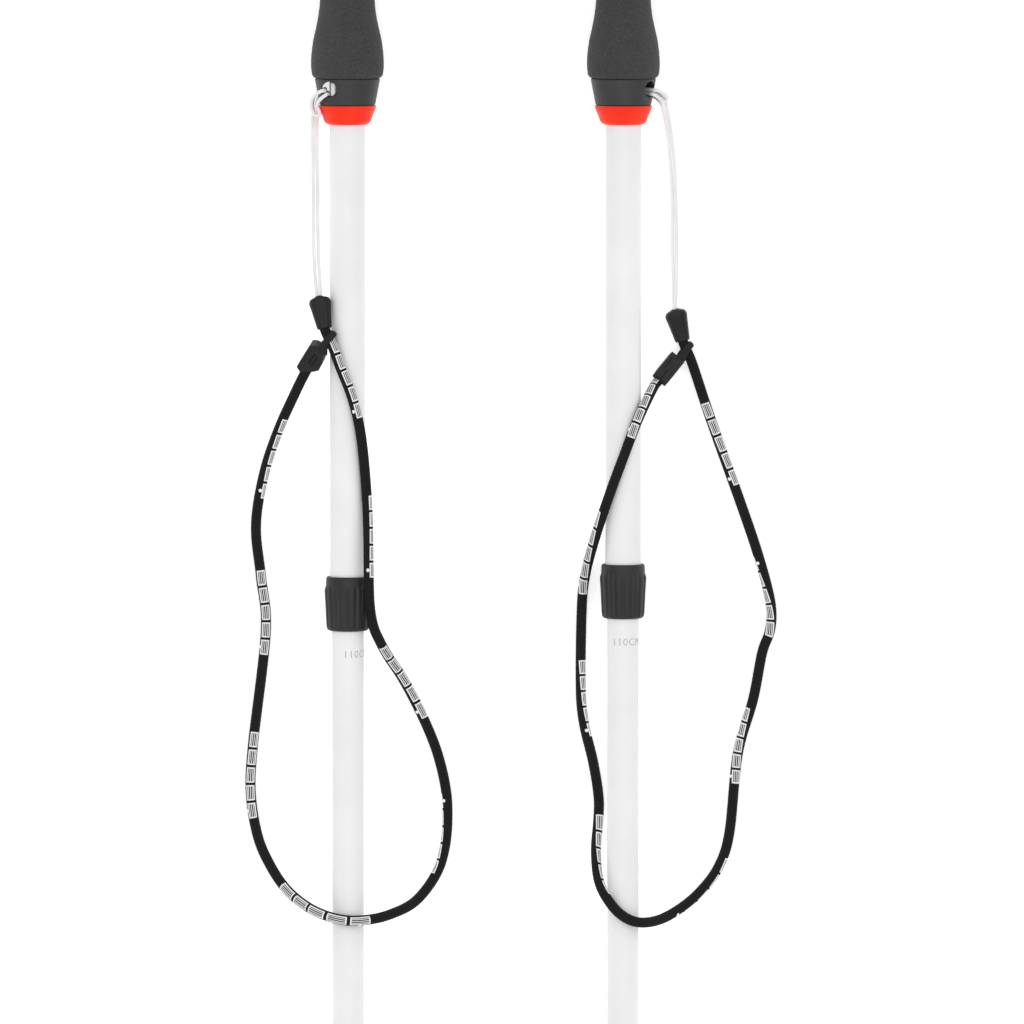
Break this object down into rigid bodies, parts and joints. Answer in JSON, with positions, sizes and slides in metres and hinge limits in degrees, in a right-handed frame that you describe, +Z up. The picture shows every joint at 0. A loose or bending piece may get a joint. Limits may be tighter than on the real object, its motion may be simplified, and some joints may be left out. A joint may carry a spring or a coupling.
{
  "type": "telescopic pole pair with wrist leashes",
  "caption": "Pair of two-section telescopic climbing poles lying side by side: foam grips, collars with cord leashes, twist locks, baskets and tips.",
  "frame": {"origin": "on the floor, midway between the two poles and midway along the left one, which is the longer", "axes": "+Y along the poles from the tips to the grips, +X from the left pole to the right one, +Z up from the floor they lie on"},
  "size_m": [0.2691, 1.112, 0.04],
  "materials": {
    "grip_foam": "matte",
    "grip_rubber": "matte",
    "black_plastic": "satin",
    "collar_plastic": "satin",
    "slider_plastic": "satin",
    "nut_plastic": "satin",
    "red_plastic": "satin",
    "wedge_plastic": "satin",
    "white_tube": "satin",
    "white_cord": "matte",
    "black_lanyard": "matte",
    "tip_metal": "satin"
  },
  "bodies": {
    "left_upper": {"left_head_cap": "grip_rubber", "left_grip_head": "black_plastic", "left_grip_core": "black_plastic", "left_foam_grip": "grip_foam", "left_leash_collar": "collar_plastic", "left_trim_ring": "red_plastic", "left_upper_tube": "white_tube", "left_tube_plug": "black_plastic", "left_collet_sleeve": "black_plastic", "left_leash_cord": "white_cord", "left_cord_end": "black_plastic", "left_lanyard": "black_lanyard", "left_slider_front": "slider_plastic", "left_slider_back": "slider_plastic", "left_slider_band": "grip_rubber"},
    "left_lower": {"left_lower_tube": "white_tube", "left_guide_bush": "black_plastic", "left_tip_ferrule": "black_plastic", "left_basket": "black_plastic", "left_carbide_tip": "tip_metal"},
    "left_wedge": {"left_wedge_ring": "wedge_plastic"},
    "left_nut": {"left_lock_nut": "nut_plastic"},
    "right_upper": {"right_head_cap": "grip_rubber", "right_grip_head": "black_plastic", "right_grip_core": "black_plastic", "right_foam_grip": "grip_foam", "right_leash_collar": "collar_plastic", "right_trim_ring": "red_plastic", "right_upper_tube": "white_tube", "right_tube_plug": "black_plastic", "right_collet_sleeve": "black_plastic", "right_leash_cord": "white_cord", "right_cord_end": "black_plastic", "right_lanyard": "black_lanyard", "right_slider_front": "slider_plastic", "right_slider_back": "slider_plastic", "right_slider_band": "grip_rubber"},
    "right_lower": {"right_lower_tube": "white_tube", "right_guide_bush": "black_plastic", "right_tip_ferrule": "black_plastic", "right_basket": "black_plastic", "right_carbide_tip": "tip_metal"},
    "right_wedge": {"right_wedge_ring": "wedge_plastic"},
    "right_nut": {"right_lock_nut": "nut_plastic"}
  },
  "joints": [
    {"name": "pole_spread", "type": "slide", "parent": "left_upper", "child": "right_upper", "axis": [1, 0, 0], "range_m": [-0.04, 0.15]},
    {"name": "left_length", "type": "slide", "parent": "left_upper", "child": "left_lower", "axis": [0, -1, 0], "range_m": [-0.06, 0.338]},
    {"name": "left_wedge_travel", "type": "slide", "parent": "left_upper", "child": "left_wedge", "axis": [0, -1, 0], "range_m": [0, 0.00126]},
    {"name": "left_nut_turn", "type": "hinge", "parent": "left_wedge", "child": "left_nut", "pos_m": [-0.0695, 0.016, 0.02], "axis": [0, -1, 0], "range_deg": [0, 150]},
    {"name": "right_length", "type": "slide", "parent": "right_upper", "child": "right_lower", "axis": [0, -1, 0], "range_m": [-0.06, 0.338]},
    {"name": "right_wedge_travel", "type": "slide", "parent": "right_upper", "child": "right_wedge", "axis": [0, -1, 0], "range_m": [0, 0.00126]},
    {"name": "right_nut_turn", "type": "hinge", "parent": "right_wedge", "child": "right_nut", "pos_m": [0.0695, 0.016, 0.02], "axis": [0, -1, 0], "range_deg": [0, 150]}
  ],
  "couplings": [
    {"joint": "left_wedge_travel", "follows": "left_nut_turn", "m_per_rad": 0.00047746},
    {"joint": "right_wedge_travel", "follows": "right_nut_turn", "m_per_rad": 0.00047746}
  ]
}
